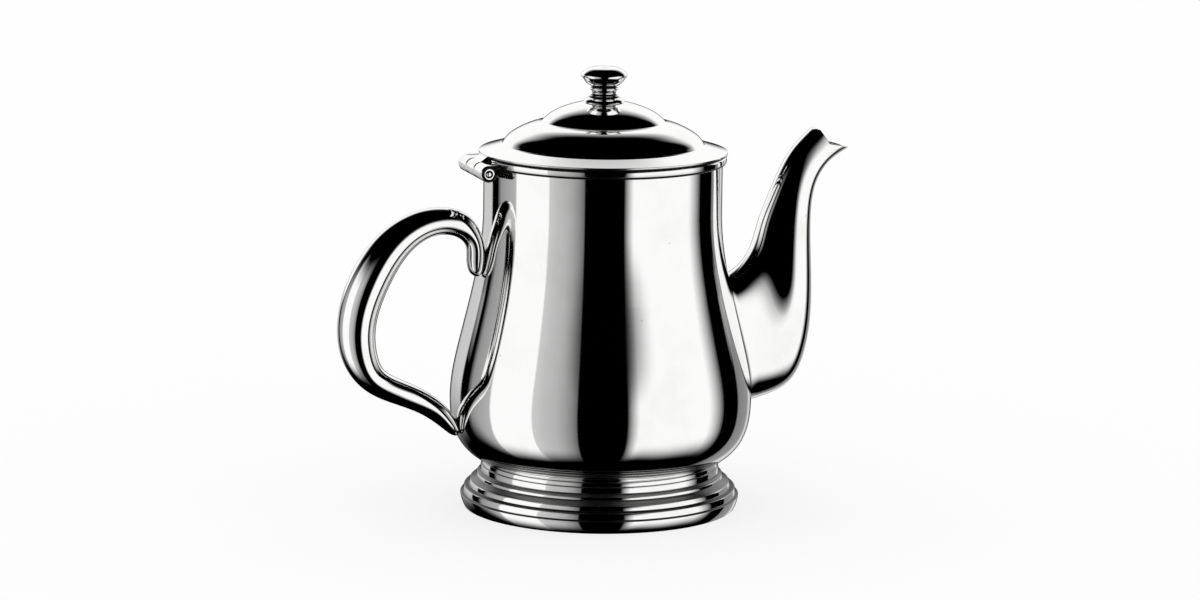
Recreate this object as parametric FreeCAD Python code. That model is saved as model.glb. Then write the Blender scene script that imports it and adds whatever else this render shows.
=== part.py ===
"""Hinged-lid metal teapot, built from spun, pressed, turned and soldered pieces.

Millimetres. +Z is up, +X points at the spout and -X at the handle.
The origin is the centre of the foot, on the table.
"""
import FreeCAD, Part
import math
import os

Vector = FreeCAD.Vector

# Sheet and fits
sheet = 1.0                 # wall of the pot, spout, handle and lid
seat_gap = 0.1              # closed lid above the mouth ring
side_gap = 0.5              # lid bezel inside the mouth ring
hinge_gap = 0.35            # hinge barrel off the mouth ring, and knuckle off knuckle
pin_fit = 0.03              # hinge pin in its knuckles, on the radius
screw_fit = 0.02            # knob screw in its holes, on the radius

# Foot, bands from the table up to the pot: height, then how far each draws in
seat_radius = 42.0          # where the foot meets the pot
foot_wall = 1.2
foot_flange_width = 6.0
foot_base_tuck = 1.4        # lower edge in from the plinth's widest line
foot_base_height = 2.6
foot_plinth_height = 2.5
foot_plinth_step = 0.8
foot_slope_height = 2.5
foot_slope_step = 2.7
foot_ridge_height = 2.9
foot_ridge_step = 2.3
foot_cove_height = 1.3
foot_cove_step = 1.0
foot_bead_height = 1.0
foot_bead_step = 0.4
foot_neck_height = 4.2
foot_neck_step = 0.8
foot_swell = 0.3            # how far a rounded band stands off its chord

# Pot, outside; rises are above its underside
neck_radius = 42.5
pot_height = 107.4
neck_rise = 90.0            # where the straight neck starts to swell
shoulder_radius = 45.1
shoulder_rise = 67.0
flank_radius = 50.7
flank_rise = 43.0
belly_radius = 54.0
belly_rise = 21.0
heel_radius = 50.8
heel_rise = 7.5
seat_slope = 0.45           # fall per run of the heel where it meets the foot

# Mouth ring, soldered on the pot's upper edge
ring_overhang = 0.5
ring_height = 2.5
ring_skirt_wall = 0.9
ring_skirt_drop = 6.0

# Spout: lower edge x and rise, upper edge x and rise, half width
spout_stations = [
    (34.0, 20.5, 28.0, 63.5, 12.2),
    (60.0, 19.6, 49.0, 65.9, 12.0),
    (70.5, 24.5, 53.0, 69.4, 11.5),
    (76.2, 35.5, 55.6, 73.5, 10.8),
    (78.5, 51.0, 57.4, 78.6, 9.6),
    (78.5, 68.0, 59.3, 85.0, 8.0),
    (78.2, 85.0, 62.8, 93.7, 6.6),
    (80.0, 97.0, 66.8, 102.5, 5.8),
    (84.5, 104.3, 71.5, 110.0, 5.5),
    (90.5, 108.6, 77.6, 116.2, 5.4),
    (97.0, 112.0, 83.5, 121.5, 5.4),
]
# Hollowed edge of the spout's mouth, x and rise
spout_lip_top = (80.3, 116.6)
spout_lip_notch = (84.2, 111.3)
spout_lip_tip = (92.4, 109.7)

# Strainer plate behind the spout
strainer_sheet = 0.8
strainer_margin = 3.0       # past the spout's opening
strainer_hole_radius = 1.5
strainer_hole_pitch = 6.0

# Handle: rise, thickness and width of the sections that lie on the pot
handle_bite = 0.5           # how far a section that lies on the pot is let into it
handle_curl = [
    (67.8, 3.2, 4.5),
    (71.0, 5.7, 7.0),
]
handle_tail = [
    (14.2, 5.2, 7.0),
    (10.8, 2.8, 4.4),
]
# Handle between its ends: centre x and rise, thickness in its plane, width across it
handle_grip = [
    (-47.2, 79.5, 6.5, 8.0),
    (-51.7, 85.9, 8.6, 9.6),
    (-61.5, 88.1, 9.8, 11.0),
    (-75.5, 81.6, 12.2, 13.2),
    (-84.8, 69.1, 14.0, 15.0),
    (-90.2, 51.5, 13.6, 14.6),
    (-88.3, 39.1, 12.0, 12.9),
    (-84.2, 32.8, 10.0, 11.0),
    (-74.0, 27.1, 8.8, 9.8),
    (-63.0, 21.4, 7.6, 8.6),
]

# Lid, outside, from its edge in to the knob: rises are above its underside
brim_overhang = 1.2         # past the mouth ring
brim_edge_rise = 1.1
brim_width = 7.5
brim_round = 2.7            # rounded outer stretch of the brim
brim_round_rise = 2.4
brim_rise = 3.2
cove_width = 0.8
dome_rise = 3.4
dome_side_width = 0.7
dome_side_rise = 4.6
dome_shoulder_width = 5.4
dome_shoulder_rise = 8.4
dome_width = 12.9
dome_top_rise = 11.0
crown_cove_width = 1.0
crown_rise = 11.4
crown_side_width = 1.9
crown_side_rise = 13.4
crown_shoulder_width = 9.0
crown_shoulder_rise = 17.2
lid_top_rise = 18.7
lid_top_margin = 0.2        # flat top past the knob's collar
lid_lip_width = 0.9

# Lid bezel, the inner ring that keeps the lid centred
bezel_wall = 1.0
bezel_drop = 5.5
bezel_relief = 14.0         # skirt cut back this far from the hinge axis

# Knob
collar_radius = 7.6
collar_rim = 0.4
collar_top_radius = 4.9
collar_height = 3.2
collar_hollow = 0.5
stem_radius = 4.75
stem_height = 1.5
bead_swell = 0.5
bead_height = 0.9
head_radius = 8.2
head_foot_radius = 5.2
head_height = 6.9
head_wide_height = 4.0      # widest part above the head's underside
head_swell = 0.5
head_crown_radius = 5.1     # where the head's top starts to level out
head_crown_drop = 0.3
screw_radius = 2.0
screw_length = 10.0
screw_head_radius = 3.6
screw_head_height = 2.0
washer_radius = 5.0
washer_sheet = 0.8

# Hinge
barrel_radius = 3.0
barrel_drop = 3.4           # axis below the mouth ring's top
knuckle_length = 9.7
pin_radius = 1.9
pin_proud = 0.2
leaf_sheet = 2.0
leaf_reach = 8.0

# Smoothness of the skinned pieces
oval_steps = 8              # points round half a section
skin_steps = 30             # sections along a spout or handle
flat_tolerance = 0.001

# Worked out from the sizes above
foot_bands = [
    (foot_base_height, -foot_base_tuck),
    (foot_plinth_height, foot_plinth_step),
    (foot_slope_height, foot_slope_step),
    (foot_ridge_height, foot_ridge_step),
    (foot_cove_height, foot_cove_step),
    (foot_bead_height, foot_bead_step),
    (foot_neck_height, foot_neck_step),
]
pot_base = sum(height for height, step in foot_bands)
foot_base_radius = seat_radius + sum(step for height, step in foot_bands)
neck_top = pot_base + pot_height
ring_top = neck_top + ring_height
ring_radius = neck_radius + ring_overhang
ring_bore = neck_radius - sheet - ring_skirt_wall
lid_base = ring_top + seat_gap
lid_top = lid_base + lid_top_rise
brim_radius = ring_radius + brim_overhang
bezel_radius = ring_bore - side_gap
bezel_bore = bezel_radius - bezel_wall
barrel_x = -(ring_radius + hinge_gap + barrel_radius)
barrel_height = ring_top - barrel_drop
hinge_length = 3 * knuckle_length + 2 * hinge_gap
screw_hole_radius = screw_radius + screw_fit
wide = 4 * belly_radius     # larger than the teapot, for cutting blocks


def at(x, z):
    return Vector(x, 0, z)


def lines(*points):
    return [Part.makeLine(a, b) for a, b in zip(points, points[1:])]


def arc(start, end, swell):
    """Arc from start to end that stands off its chord by swell, to the right of the way."""
    chord = end - start
    right = Vector(chord.z, 0, -chord.x).normalize()
    return Part.Arc(start, (start + end) * 0.5 + right * swell, end).toShape()


def inset(curve, points, distance):
    """Points moved square off a downward curve, towards the axis."""
    moved = []
    for point in points:
        along = curve.tangent(curve.parameter(point))[0]
        moved.append(point + Vector(along.z, 0, -along.x) * distance)
    return moved


def smooth(points, start=None, end=None):
    """Smooth curve through points, with its end directions if they are given."""
    curve = Part.BSplineCurve()
    if start is None:
        curve.interpolate(Points=points)
    else:
        curve.interpolate(Points=points, InitialTangent=start, FinalTangent=end)
    return curve


def lathe(edges):
    """Solid turned about the Z axis from a closed outline in the XZ plane."""
    face = Part.Face(Part.Wire(edges))
    return face.revolve(Vector(0, 0, 0), Vector(0, 0, 1), 360)


def turned_block(inner, outer, bottom, top):
    corners = [at(inner, bottom), at(outer, bottom), at(outer, top), at(inner, top)]
    return lathe(lines(*corners, corners[0]))


def block(x0, x1, y0, y1, z0, z1):
    return Part.makeBox(x1 - x0, y1 - y0, z1 - z0, Vector(x0, y0, z0))


def prism(edges, y0, y1):
    """Closed outline in the XZ plane, drawn out from y0 to y1."""
    face = Part.Face(Part.Wire(edges))
    face.translate(Vector(0, y0, 0))
    return face.extrude(Vector(0, y1 - y0, 0))


def largest(shape):
    return max(shape.Solids, key=lambda solid: solid.Volume)


def run_along(points):
    """Distance along a chain of points, at each of them."""
    run = [0.0]
    for a, b in zip(points, points[1:]):
        run.append(run[-1] + (b - a).Length)
    return run


def curve_at(points, places):
    """Smooth curve that meets each point at its place in the curve's parameter."""
    curve = Part.BSplineCurve()
    curve.interpolate(Points=points, Parameters=places)
    return curve


def even_places(first, last):
    return [first + (last - first) * step / skin_steps for step in range(skin_steps + 1)]


def half_oval(centre, across, sideways):
    """Points on half an ellipse, from one end of across to the other, by way of sideways."""
    points = []
    for step in range(oval_steps + 1):
        angle = math.pi * step / oval_steps
        points.append(centre - across * math.cos(angle) + sideways * math.sin(angle))
    return points


def half_solid(rows):
    """Solid between the XZ plane and the smooth skin through rows of half ovals."""
    surface = Part.BSplineSurface()
    surface.interpolate(rows)
    skin = surface.toShape()
    flat_edges = []
    caps = []
    for edge in skin.Edges:
        middle = edge.valueAt((edge.FirstParameter + edge.LastParameter) / 2)
        if abs(middle.y) < flat_tolerance:
            flat_edges.append(edge)
            continue
        chord = Part.makeLine(edge.Vertexes[0].Point, edge.Vertexes[1].Point)
        caps.append(Part.Face(Part.Wire([edge, chord])))
        flat_edges.append(chord)
    flat = Part.Face(Part.Wire(Part.__sortEdges__(flat_edges)))
    solid = Part.makeSolid(Part.makeShell([skin, flat] + caps))
    if solid.Volume < 0:
        solid.reverse()
    return solid


def pot_curve(depth):
    """Swelling side of the pot below its neck, moved in by depth, and the curve's ends."""
    points = [
        at(neck_radius, pot_base + neck_rise),
        at(shoulder_radius, pot_base + shoulder_rise),
        at(flank_radius, pot_base + flank_rise),
        at(belly_radius, pot_base + belly_rise),
        at(heel_radius, pot_base + heel_rise),
        at(seat_radius, pot_base),
    ]
    down = Vector(0, 0, -1)
    inwards = Vector(-1, 0, -seat_slope).normalize()
    curve = smooth(points, down, inwards)
    if depth:
        points = inset(curve, points, depth)
        curve = smooth(points, down, inwards)
    return curve, points[0], points[-1]


def pot_solid(depth):
    """The filled pot, its outside moved in by depth; a hollow runs on past the pot's edge."""
    curve, first, last = pot_curve(depth)
    top = neck_top + depth
    upper = lines(at(0, top), at(first.x, top), first)
    lower = lines(last, at(0, last.z), at(0, top))
    return lathe(upper + [curve.toShape()] + lower)


def pot_radius(rise):
    """Outside radius of the pot's swelling side at a rise above its underside."""
    level = Part.makeLine(at(0, pot_base + rise), at(wide, pot_base + rise))
    side = pot_curve(0)[0].toShape()
    return side.distToShape(level)[1][0][0].x


def mouth_ring():
    skirt_radius = neck_radius - sheet
    top = turned_block(ring_bore, ring_radius, neck_top, ring_top)
    skirt = turned_block(ring_bore, skirt_radius, neck_top - ring_skirt_drop, neck_top)
    return largest(top.fuse(skirt).removeSplitter())


def foot_ring():
    """Stepped foot: bands hollow and swell in turn, and the inside follows them."""
    corners = [at(foot_base_radius, 0)]
    for height, step in foot_bands:
        corners.append(corners[-1] + Vector(-step, 0, height))
    swells = [foot_swell, foot_swell, foot_swell, foot_swell, -foot_swell, foot_swell / 2, -foot_swell]
    outside = [arc(a, b, swell) for a, b, swell in zip(corners, corners[1:], swells)]
    hollow_top = pot_base - foot_wall
    flange = seat_radius - foot_flange_width
    in_wall = Vector(-foot_wall, 0, 0)
    inside = [corners[0]] + [corner + in_wall for corner in corners[:-1]]
    inside += [at(seat_radius - foot_wall, hollow_top), at(flange, hollow_top), at(flange, pot_base)]
    return lathe(outside + lines(corners[-1], *reversed(inside)))


def spout_half(depth, side):
    """One filled half of the spout, side +1 or -1 along Y, its outside moved in by depth."""
    lows = [at(x, pot_base + rise) for x, rise, _, _, _ in spout_stations]
    highs = [at(x, pot_base + rise) for _, _, x, rise, _ in spout_stations]
    places = run_along([(low + high) * 0.5 for low, high in zip(lows, highs)])
    widths = [at(half, place) for (_, _, _, _, half), place in zip(spout_stations, places)]
    low_edge = curve_at(lows, places)
    high_edge = curve_at(highs, places)
    width = curve_at(widths, places)
    rows = []
    for place in even_places(0, places[-1]):
        low = low_edge.value(place)
        high = high_edge.value(place)
        across = (high - low) * 0.5
        across = across * (1 - depth / across.Length)
        sideways = Vector(0, side * (width.value(place).x - depth), 0)
        rows.append(half_oval((low + high) * 0.5, across, sideways))
    return half_solid(rows)


def spout_mouth_cut():
    """All that lies above the hollowed line from the lip's top to its pouring tip."""
    top, notch, tip = [at(x, pot_base + rise) for x, rise in (spout_lip_top, spout_lip_notch, spout_lip_tip)]
    sky = neck_top + wide
    edge = Part.Arc(tip, notch, top).toShape()
    rest = lines(top, at(0, top.z), at(0, sky), at(wide, sky), at(wide, tip.z), tip)
    return prism([edge] + rest, -wide, wide)


def strainer_plate():
    """Curved plate on the inside of the pot, pierced behind the spout."""
    _, low_rise, _, high_rise, half_width = spout_stations[1]
    half_height = (high_rise - low_rise) * 0.5
    centre = at(0, pot_base + (high_rise + low_rise) * 0.5)
    tall = centre + Vector(0, 0, half_height + strainer_margin)
    broad = centre + Vector(0, half_width + strainer_margin, 0)
    outline = Part.Wire(Part.Ellipse(tall, broad, centre).toShape())
    plug = Part.Face(outline).extrude(Vector(wide, 0, 0))
    plate = pot_solid(sheet).cut(pot_solid(sheet + strainer_sheet)).common(plug)
    rows = int(half_height / strainer_hole_pitch)
    columns = int(half_width / strainer_hole_pitch)
    edge = strainer_hole_radius + strainer_sheet
    holes = []
    for row in range(-rows, rows + 1):
        for column in range(-columns, columns + 1):
            y = column * strainer_hole_pitch
            rise = row * strainer_hole_pitch
            reach = math.hypot(y / (half_width - edge), rise / (half_height - edge))
            if reach < 1:
                place = centre + Vector(0, y, rise)
                holes.append(Part.makeCylinder(strainer_hole_radius, wide, place, Vector(1, 0, 0)))
    return largest(plate.cut(holes))


def handle_stations():
    """Centre, half thickness and half width of the handle's sections, from curl to tail."""
    stations = []
    for rise, thick, across in handle_curl:
        stations.append((-(pot_radius(rise) + thick / 2 - handle_bite), rise, thick, across))
    stations += handle_grip
    for rise, thick, across in handle_tail:
        stations.append((-(pot_radius(rise) + thick / 2 - handle_bite), rise, thick, across))
    centres = [at(x, pot_base + rise) for x, rise, _, _ in stations]
    halves = [at(thick / 2, across / 2) for _, _, thick, across in stations]
    return centres, halves


def handle_half(depth, side):
    """One filled half of the handle, moved in by depth; a hollow stops short of both tips."""
    centres, halves = handle_stations()
    places = run_along(centres)
    path = curve_at(centres, places)
    section = curve_at(halves, places)
    ends = (places[1], places[-2]) if depth else (places[0], places[-1])
    rows = []
    for place in even_places(*ends):
        along = path.tangent(place)[0]
        half = section.value(place)
        outwards = Vector(along.z, 0, -along.x) * (half.x - depth)
        sideways = Vector(0, side * (half.z - depth), 0)
        rows.append(half_oval(path.value(place), outwards, sideways))
    return half_solid(rows)


def lid_points():
    """Points on the outside of the lid's crown, dome and brim, from the top down."""
    dome_radius = brim_radius - brim_width - cove_width
    crown_radius = dome_radius - dome_width - crown_cove_width
    crown = [
        at(collar_radius + lid_top_margin, lid_top),
        at(crown_radius - crown_shoulder_width, lid_base + crown_shoulder_rise),
        at(crown_radius - crown_side_width, lid_base + crown_side_rise),
        at(crown_radius, lid_base + crown_rise),
    ]
    dome = [
        at(dome_radius - dome_width, lid_base + dome_top_rise),
        at(dome_radius - dome_shoulder_width, lid_base + dome_shoulder_rise),
        at(dome_radius - dome_side_width, lid_base + dome_side_rise),
        at(dome_radius, lid_base + dome_rise),
    ]
    brim = [
        at(brim_radius - brim_width, lid_base + brim_rise),
        at(brim_radius - brim_round, lid_base + brim_round_rise),
        at(brim_radius, lid_base + brim_edge_rise),
    ]
    return crown, dome, brim


def lid_solid(depth):
    """The filled lid from its underside up, its outside moved in by depth."""
    top = at(0, lid_top - depth)
    last = at(collar_radius + lid_top_margin, lid_top - depth)
    edges = lines(at(0, lid_base), top, last)
    for points in lid_points():
        curve = smooth(points)
        if depth:
            points = inset(curve, points, depth)
            curve = smooth(points)
        if (points[0] - last).Length > flat_tolerance:
            edges += lines(last, points[0])
        edges.append(curve.toShape())
        last = points[-1]
    lip = brim_radius - lid_lip_width if depth else brim_radius
    edges += lines(last, at(lip, lid_base), at(0, lid_base))
    return lathe(edges)


def lid_bezel(hollow):
    """Ring under the brim, with a skirt that drops into the mouth ring."""
    flange = turned_block(bezel_bore, brim_radius, lid_base, lid_base + brim_round_rise)
    skirt = turned_block(bezel_bore, bezel_radius, lid_base - bezel_drop, lid_base)
    relief = block(-wide, barrel_x + bezel_relief, -wide, wide, 0, lid_base)
    return largest(flange.common(hollow).fuse(skirt.cut(relief)).removeSplitter())


def screw_hole(bottom, top):
    return Part.makeCylinder(screw_hole_radius, top - bottom, Vector(0, 0, bottom))


def knob_collar():
    """Flared collar on the lid's flat top, bored for the screw."""
    collar_top = lid_top + collar_height
    rim = at(collar_radius, lid_top + collar_rim)
    upper = at(collar_top_radius, collar_top)
    bore = lines(upper, at(screw_hole_radius, collar_top), at(screw_hole_radius, lid_top))
    foot = lines(at(screw_hole_radius, lid_top), at(collar_radius, lid_top), rim)
    return lathe(bore + foot + [arc(rim, upper, -collar_hollow)])


def knob(hole_top):
    """Stem, bead and mushroom head, with a blind hole for the screw."""
    stem_bottom = lid_top + collar_height
    bead_bottom = stem_bottom + stem_height
    head_bottom = bead_bottom + bead_height
    head_top = head_bottom + head_height
    bead = at(stem_radius, bead_bottom)
    head = at(head_foot_radius, head_bottom)
    widest = at(head_radius, head_bottom + head_wide_height)
    shoulder = at(head_crown_radius, head_top - head_crown_drop)
    crown = smooth([widest, shoulder, at(0, head_top)], Vector(0, 0, 1), Vector(-1, 0, 0))
    stem = lines(at(0, stem_bottom), at(stem_radius, stem_bottom), bead)
    sides = [arc(bead, head, bead_swell), arc(head, widest, head_swell), crown.toShape()]
    axis = lines(at(0, head_top), at(0, stem_bottom))
    return largest(lathe(stem + sides + axis).cut(screw_hole(stem_bottom, hole_top)))


def knob_screw(washer_bottom):
    """Pan-headed screw that comes up from inside the lid."""
    head_bottom = Vector(0, 0, washer_bottom - screw_head_height)
    head = Part.makeCylinder(screw_head_radius, screw_head_height, head_bottom)
    shank = Part.makeCylinder(screw_radius, screw_length, Vector(0, 0, washer_bottom))
    return largest(head.fuse(shank).removeSplitter())


def along_hinge(radius, y0, y1):
    """Cylinder on the hinge axis between two places along it."""
    return Part.makeCylinder(radius, y1 - y0, Vector(barrel_x, y0, barrel_height), Vector(0, 1, 0))


def pot_knuckle(y0, y1, pot_filled):
    """Knuckle with a leaf, flush with the barrel's top, that runs in to the mouth ring."""
    top = barrel_height + barrel_radius
    leaf = block(barrel_x, barrel_x + leaf_reach, y0, y1, top - leaf_sheet, top)
    knuckle = along_hinge(barrel_radius, y0, y1).fuse(leaf)
    bore = along_hinge(pin_radius + pin_fit, y0, y1)
    return largest(knuckle.cut(bore).cut(pot_filled))


def lid_knuckle(lid_filled):
    """Middle knuckle with a web that slopes up from the barrel to the lid's brim."""
    half = knuckle_length / 2
    right = -(ring_radius + hinge_gap)
    top = lid_base + brim_edge_rise
    axis = at(barrel_x, barrel_height)
    outline = [
        axis,
        at(right, barrel_height),
        at(right, top),
        at(-brim_radius, top),
        axis + Vector(0, 0, barrel_radius),
    ]
    web = prism(lines(*outline, outline[0]), -half, half)
    knuckle = along_hinge(barrel_radius, -half, half).fuse(web)
    bore = along_hinge(pin_radius + pin_fit, -half, half)
    return largest(knuckle.cut(bore).cut(lid_filled))


def pot_pieces():
    """Shell, ring, foot, strainer, and the halves of the spout and handle that meet the pot."""
    pot_filled = pot_solid(0)
    mouth_cut = spout_mouth_cut()
    shell = pot_filled.cut(pot_solid(sheet))
    pieces = {}
    for name, side in (("left_half", 1), ("right_half", -1)):
        channel = spout_half(sheet, side)
        spout = spout_half(0, side).cut(channel).cut(pot_filled).cut(mouth_cut)
        handle = handle_half(0, side).cut(handle_half(sheet, side)).cut(pot_filled)
        pieces["spout_" + name] = largest(spout)
        pieces["handle_" + name] = largest(handle)
        shell = shell.cut(channel)
    pieces["body_shell"] = largest(shell)
    pieces["mouth_ring"] = mouth_ring()
    pieces["foot_ring"] = foot_ring()
    pieces["strainer_plate"] = strainer_plate()
    return pieces


def hinge_pieces():
    """Two knuckles on the mouth ring, one on the lid, and the pin through all three."""
    inner = knuckle_length / 2 + hinge_gap
    outer = hinge_length / 2
    pot_filled = pot_solid(0).fuse(turned_block(0, ring_radius, neck_top, ring_top))
    return {
        "hinge_knuckle_left": pot_knuckle(inner, outer, pot_filled),
        "hinge_knuckle_right": pot_knuckle(-outer, -inner, pot_filled),
        "hinge_pin": along_hinge(pin_radius, -outer - pin_proud, outer + pin_proud),
        "lid_knuckle": lid_knuckle(lid_solid(0)),
    }


def lid_pieces():
    """Lid shell, bezel, and the knob with what holds it on."""
    hollow = lid_solid(sheet)
    underside = lid_top - sheet
    washer_bottom = underside - washer_sheet
    screw_top = washer_bottom + screw_length
    return {
        "lid_shell": largest(lid_solid(0).cut(hollow).cut(screw_hole(lid_base, lid_top))),
        "lid_bezel": lid_bezel(hollow),
        "knob_collar": knob_collar(),
        "knob": knob(screw_top + screw_fit),
        "knob_washer": turned_block(screw_hole_radius, washer_radius, washer_bottom, underside),
        "knob_screw": knob_screw(washer_bottom),
    }


os.makedirs("parts", exist_ok=True)
for pieces in (pot_pieces(), hinge_pieces(), lid_pieces()):
    for node, shape in pieces.items():
        shape.exportStep("parts/" + node + ".step")
        print(node, "volume", round(shape.Volume, 1), "valid", shape.isValid())
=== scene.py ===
import math

import bmesh
import bpy
import numpy as np
from mathutils import Matrix, Vector


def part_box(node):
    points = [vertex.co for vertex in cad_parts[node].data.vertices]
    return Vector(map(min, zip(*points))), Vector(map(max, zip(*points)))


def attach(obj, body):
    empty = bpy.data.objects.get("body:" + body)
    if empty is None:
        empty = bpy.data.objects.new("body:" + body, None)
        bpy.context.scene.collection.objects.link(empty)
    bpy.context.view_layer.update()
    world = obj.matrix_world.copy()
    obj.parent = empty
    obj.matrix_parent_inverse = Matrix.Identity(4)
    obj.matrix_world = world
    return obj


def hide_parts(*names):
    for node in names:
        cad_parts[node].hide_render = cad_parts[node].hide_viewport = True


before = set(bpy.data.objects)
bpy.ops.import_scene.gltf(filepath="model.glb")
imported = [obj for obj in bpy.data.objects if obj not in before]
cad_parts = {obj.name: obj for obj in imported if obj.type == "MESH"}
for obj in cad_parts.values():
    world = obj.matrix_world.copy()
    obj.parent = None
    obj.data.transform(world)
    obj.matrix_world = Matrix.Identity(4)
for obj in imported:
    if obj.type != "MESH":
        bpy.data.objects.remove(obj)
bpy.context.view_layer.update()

# Shapes are worked out in millimetres and put into the meshes in metres.
mm = 0.001
fine_pitch = 0.02           # spacing of a worked-out outline before its rows are picked
turn_worth = 6.0            # millimetres of plain run that one radian of bend is worth in rows
round_columns = 192         # points round a turned piece
sheet = 1.0                 # wall of the pot, lid, spout and handle
lip_rows = 9                # rows round a rolled lip
crevice_bend = 0.2          # most that one step of a fine outline counts for, in radians
crevice_turn = (0.12, 0.5)  # inward turn, in radians, at which a crevice's painted shade begins and is darkest

# Pot, outside: radius and height from the neck down to the foot, and its slope at the foot
pot_outline = [(42.5, 107.0), (45.1, 84.0), (50.7, 60.0), (54.0, 38.0), (50.8, 24.5), (42.0, 17.0)]
seat_slope = 0.45
pot_base = 17.0

# Foot: height, step in, swell and how dark its risers and treads are painted as shade, from the table up
foot_base_radius = 48.6
foot_bands = [
    (4.5, -1.4, 0.25, 0.0),
    (0.4, 1.0, 0.0, 1.0),
    (2.15, 0.4, 0.12, 0.0),
    (0.6, 1.7, 0.0, 1.0),
    (1.65, 0.4, 0.1, 0.0),
    (1.7, 2.3, -0.25, 0.85),
    (0.9, 0.2, 0.06, 0.0),
    (1.2, 1.2, -0.2, 0.85),
    (1.9, 0.2, 0.06, 0.0),
    (0.3, 0.3, 0.0, 1.0),
    (1.4, 0.3, 0.06, 0.0),
    (0.3, 0.0, 0.0, 1.0),
]
foot_wall = 1.2
foot_flange_radius = 36.0
foot_edge = 0.35            # rounding of its edges
foot_rows = 280
seat_cove_reach = 1.2       # solder cove that runs up the pot from the foot
seat_cove_bow = 0.2

# Mouth ring
ring_radius = 43.9
ring_height = 3.3
seam_lift = 0.7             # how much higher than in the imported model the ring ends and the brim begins
ring_round = 1.0
ring_skirt_wall = 0.9
ring_edge = 0.15
ring_crevice = (0.15, 0.5)  # depth in from its face at which its painted shade begins and is darkest
ring_shadow = (0.8, 1.15)    # height over its lower edge at which its painted shadow is darkest and ends
ring_rows = 96

# Lid, outside, radius and height of its crown, dome and brim
lid_crown = [(7.8, 145.7), (13.0, 144.3), (20.1, 140.7), (22.0, 138.9)]
lid_dome = [(23.0, 138.5), (30.5, 135.8), (35.2, 132.1), (35.9, 130.9)]
lid_brim = [(36.7, 130.7), (40.4, 129.6), (44.2, 128.5)]
lid_cove = 0.35              # length over which the coves between them are eased
lid_edge = 0.4
lid_lip = 0.9
lid_crevice = (0.3, 0.6)   # height over the brim's lower edge at which its painted shade is darkest and ends

# Knob: radius and height of its outline from the top down
knob_head = [
    (0.0, 158.15), (4.8, 158.0), (7.3, 156.7), (8.2, 155.3), (7.2, 153.8), (6.6, 152.9), (5.4, 152.0), (4.4, 151.3),
]
knob_bead_radius = 5.05
knob_bead_rise = 150.5
knob_bead_half = 0.45
knob_waist = (4.27, 149.4)
collar_ring_radius = 5.0
collar_ring_rise = 147.9
collar_bell = [(4.9, 147.5), (5.8, 147.3), (7.0, 146.6), (7.4, 145.8)]
collar_edge = 0.25
screw_hole_radius = 2.02
# Reach over which inward turns of the knob and of the collar are painted dark as shade
knob_crevice = 0.5
collar_crevice = 1.0
knob_rows = 220
collar_rows = 140
knob_columns = 128

# Spout: lower edge x and height, upper edge x and height, half width
spout_stations = np.array([
    (34.0, 37.5, 28.0, 80.5, 12.2),
    (60.0, 36.6, 49.0, 82.9, 12.0),
    (70.5, 41.5, 53.0, 86.4, 11.5),
    (76.2, 52.5, 55.6, 90.5, 10.8),
    (78.5, 68.0, 57.4, 95.6, 9.6),
    (78.5, 85.0, 59.3, 102.0, 8.0),
    (78.2, 102.0, 62.8, 110.7, 6.6),
    (80.0, 114.0, 66.8, 119.5, 5.8),
    (84.5, 121.3, 71.5, 127.0, 5.5),
    (90.5, 125.6, 77.6, 133.2, 5.4),
    (97.0, 129.0, 83.5, 138.5, 5.4),
])
spout_lip = [(92.4, 126.7), (83.7, 129.0), (80.5, 133.9)]    # x and height of its tip, corner and top
spout_lip_ease = 2.0        # length over which its corner is eased
spout_egg = [-0.3, 0.5, 0.26, 0.13]    # how far its ovals are egg-shaped, fuller below, from root to mouth
spout_blunt = 0.45          # how far their upper ends are blunter
spout_sink = 0.5            # how far the spout's root is let into the pot
spout_solder = 0.8          # height and reach of the solder cove at its root
spout_solder_reach = 3.5
# Nearness to the root, as a share of the solder cove's reach, at which painted shade begins and is darkest
spout_crevice = (0.55, 0.85)
spout_columns = 144
spout_rows = 110

# Handle: height, thickness and width of the sections that lie on the pot
handle_bite = 0.5
handle_curl = [(84.8, 3.2, 4.5), (88.0, 5.7, 7.0)]
handle_tail = [(31.2, 5.2, 7.0), (27.8, 2.8, 4.4)]
# Handle between its ends: centre x and height, thickness in its plane, width across it
handle_grip = [
    (-47.2, 96.5, 6.5, 8.0),
    (-51.7, 102.9, 8.6, 9.6),
    (-61.5, 105.1, 9.8, 11.0),
    (-75.5, 98.6, 12.2, 13.2),
    (-84.8, 86.1, 14.0, 15.0),
    (-90.2, 68.5, 13.6, 14.6),
    (-88.3, 56.1, 12.0, 12.9),
    (-84.2, 49.8, 10.0, 11.0),
    (-74.0, 44.1, 8.8, 9.8),
    (-63.0, 38.4, 7.6, 8.6),
]
handle_tip = 2.4            # length over which a tip rounds off
handle_crevice = (0.1, 0.7)  # distance from the pot at which its painted shade is darkest and ends
handle_columns = 96
handle_rows = 260

# Hinge
barrel_radius = 3.0
knuckle_length = 9.7
knuckle_gap = 0.35
knuckle_edge = 0.6
leaf_sheet = 2.0
leaf_end_radius = 42.0      # where a leaf ends inside the mouth ring
hinge_columns = 120
knuckle_crevice = (0.3, 1.0)   # turn of a rounded edge, in radians, over which its painted shade fades out
# Width of the rim round the pin's bore; rim and bore are painted dark as shade
bore_crevice = 0.3
leaf_shadow = 0.5           # depth over which the painted shadow under a leaf fades out
# Pin end: radius and distance in from the tip of its nib, groove and rim
pin_end = [(0.0, 0.0), (0.65, 0.05), (0.9, 0.3), (0.95, 0.9), (1.35, 0.9), (1.4, 0.2), (1.9, 0.25)]
pin_edge = 0.1
# Reach over which the pin's grooves are painted dark as shade
pin_crevice = 0.5
pin_rows = 90
pin_columns = 64

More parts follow.
